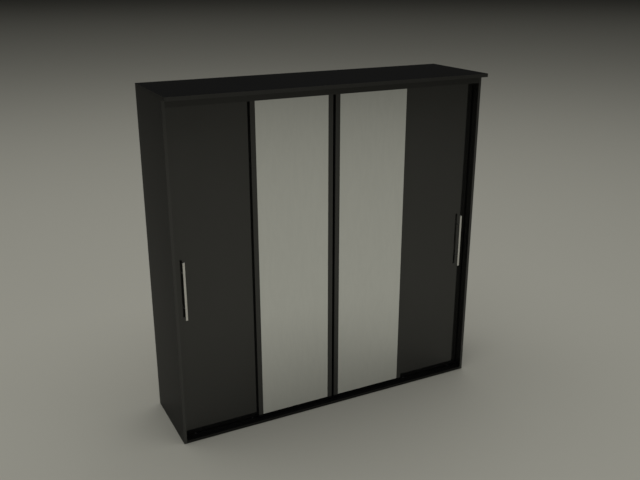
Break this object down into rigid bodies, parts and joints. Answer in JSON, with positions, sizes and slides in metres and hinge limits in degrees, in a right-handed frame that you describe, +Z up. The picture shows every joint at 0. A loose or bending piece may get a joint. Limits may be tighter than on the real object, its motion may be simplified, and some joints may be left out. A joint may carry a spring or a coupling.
{
  "type": "sliding door wardrobe",
  "caption": "Black free-standing sliding door wardrobe: plain outer doors with bar handles run behind mirror doors in a carcass with hanging rails and shelves.",
  "frame": {"origin": "on the floor, under the middle of the wardrobe's whole outline, the top's front overhang included", "axes": "+Z up, front with the doors towards -Y, doors slide along X, back towards +Y"},
  "size_m": [2.1, 0.597, 2.136],
  "materials": {
    "black_board": "satin black laminate on chipboard",
    "black_door_board": "satin black laminate on chipboard",
    "back_sheet": "hardboard, black lacquered inside and raw outside",
    "backing_board": "black faced board",
    "mirror_glass": "silvered float glass",
    "black_profile": "satin black anodised",
    "satin_metal": "brushed satin",
    "rail_chrome": "polished chrome",
    "zinc_steel": "zinc plated",
    "track_aluminium": "dark anodised extrusion",
    "black_plastic": "moulded, fine grain",
    "nylon": "natural nylon",
    "brush_pile": "black pile strip"
  },
  "bodies": {
    "carcass": {"side_panel_left": "black_board", "side_panel_right": "black_board", "partition_left": "black_board", "partition_right": "black_board", "top_board": "black_board", "base_board": "black_board", "fascia_board": "black_board", "back_sheet_left": "back_sheet", "back_sheet_centre": "back_sheet", "back_sheet_right": "back_sheet", "hanging_rail_left": "rail_chrome", "hanging_rail_right": "rail_chrome", "rail_sockets": "zinc_steel", "shelf_pins": "zinc_steel", "cam_locks": "zinc_steel", "floor_glides": "black_plastic", "wall_brackets": "zinc_steel", "bottom_track": "track_aluminium", "top_track": "track_aluminium", "track_screws": "zinc_steel", "track_stops": "black_plastic", "hat_shelf_left": "black_board", "hat_shelf_centre": "black_board", "hat_shelf_right": "black_board", "centre_shelf_1": "black_board", "centre_shelf_2": "black_board"},
    "dark_door_left_body": {"dark_door_left": "black_door_board", "handle_bar_left": "satin_metal", "handle_posts_left": "satin_metal", "handle_screws_left": "zinc_steel", "roller_carriers_dark_left": "black_plastic", "top_guides_dark_left": "black_plastic"},
    "mirror_door_left_body": {"mirror_glass_left": "mirror_glass", "mirror_backing_left": "backing_board", "mirror_stile_outer_left": "black_profile", "mirror_stile_inner_left": "black_profile", "brush_seals_left": "brush_pile", "roller_carriers_mirror_left": "black_plastic", "top_guides_mirror_left": "black_plastic"},
    "dark_door_right_body": {"dark_door_right": "black_door_board", "handle_bar_right": "satin_metal", "handle_posts_right": "satin_metal", "handle_screws_right": "zinc_steel", "roller_carriers_dark_right": "black_plastic", "top_guides_dark_right": "black_plastic"},
    "mirror_door_right_body": {"mirror_glass_right": "mirror_glass", "mirror_backing_right": "backing_board", "mirror_stile_outer_right": "black_profile", "mirror_stile_inner_right": "black_profile", "brush_seals_right": "brush_pile", "roller_carriers_mirror_right": "black_plastic", "top_guides_mirror_right": "black_plastic"},
    "roller_dark_left_a_body": {"roller_dark_left_a": "nylon"},
    "roller_dark_left_b_body": {"roller_dark_left_b": "nylon"},
    "roller_mirror_left_a_body": {"roller_mirror_left_a": "nylon"},
    "roller_mirror_left_b_body": {"roller_mirror_left_b": "nylon"},
    "roller_dark_right_a_body": {"roller_dark_right_a": "nylon"},
    "roller_dark_right_b_body": {"roller_dark_right_b": "nylon"},
    "roller_mirror_right_a_body": {"roller_mirror_right_a": "nylon"},
    "roller_mirror_right_b_body": {"roller_mirror_right_b": "nylon"}
  },
  "joints": [
    {"name": "dark_door_left_slide", "type": "slide", "parent": "carcass", "child": "dark_door_left_body", "axis": [1, 0, 0], "range_m": [0, 0.28]},
    {"name": "dark_door_right_slide", "type": "slide", "parent": "carcass", "child": "dark_door_right_body", "axis": [-1, 0, 0], "range_m": [0, 0.28]},
    {"name": "mirror_door_left_slide", "type": "slide", "parent": "carcass", "child": "mirror_door_left_body", "axis": [-1, 0, 0], "range_m": [0, 0.14]},
    {"name": "mirror_door_right_slide", "type": "slide", "parent": "carcass", "child": "mirror_door_right_body", "axis": [1, 0, 0], "range_m": [0, 0.14]},
    {"name": "roller_dark_left_a_spin", "type": "hinge", "parent": "dark_door_left_body", "child": "roller_dark_left_a_body", "pos_m": [-0.965, -0.172, 0.0318], "axis": [0, 1, 0], "continuous": true},
    {"name": "roller_dark_left_b_spin", "type": "hinge", "parent": "dark_door_left_body", "child": "roller_dark_left_b_body", "pos_m": [-0.555, -0.172, 0.0318], "axis": [0, 1, 0], "continuous": true},
    {"name": "roller_dark_right_a_spin", "type": "hinge", "parent": "dark_door_right_body", "child": "roller_dark_right_a_body", "pos_m": [0.555, -0.172, 0.0318], "axis": [0, 1, 0], "continuous": true},
    {"name": "roller_dark_right_b_spin", "type": "hinge", "parent": "dark_door_right_body", "child": "roller_dark_right_b_body", "pos_m": [0.965, -0.172, 0.0318], "axis": [0, 1, 0], "continuous": true},
    {"name": "roller_mirror_left_a_spin", "type": "hinge", "parent": "mirror_door_left_body", "child": "roller_mirror_left_a_body", "pos_m": [-0.4785, -0.1933, 0.0318], "axis": [0, 1, 0], "continuous": true},
    {"name": "roller_mirror_left_b_spin", "type": "hinge", "parent": "mirror_door_left_body", "child": "roller_mirror_left_b_body", "pos_m": [-0.0685, -0.1933, 0.0318], "axis": [0, 1, 0], "continuous": true},
    {"name": "roller_mirror_right_a_spin", "type": "hinge", "parent": "mirror_door_right_body", "child": "roller_mirror_right_a_body", "pos_m": [0.0685, -0.1933, 0.0318], "axis": [0, 1, 0], "continuous": true},
    {"name": "roller_mirror_right_b_spin", "type": "hinge", "parent": "mirror_door_right_body", "child": "roller_mirror_right_b_body", "pos_m": [0.4785, -0.1933, 0.0318], "axis": [0, 1, 0], "continuous": true}
  ],
  "couplings": [
    {"joint": "roller_dark_left_a_spin", "follows": "dark_door_left_slide", "rad_per_m": 100},
    {"joint": "roller_dark_left_b_spin", "follows": "dark_door_left_slide", "rad_per_m": 100},
    {"joint": "roller_dark_right_a_spin", "follows": "dark_door_right_slide", "rad_per_m": -100},
    {"joint": "roller_dark_right_b_spin", "follows": "dark_door_right_slide", "rad_per_m": -100},
    {"joint": "roller_mirror_left_a_spin", "follows": "mirror_door_left_slide", "rad_per_m": -100},
    {"joint": "roller_mirror_left_b_spin", "follows": "mirror_door_left_slide", "rad_per_m": -100},
    {"joint": "roller_mirror_right_a_spin", "follows": "mirror_door_right_slide", "rad_per_m": 100},
    {"joint": "roller_mirror_right_b_spin", "follows": "mirror_door_right_slide", "rad_per_m": 100}
  ]
}
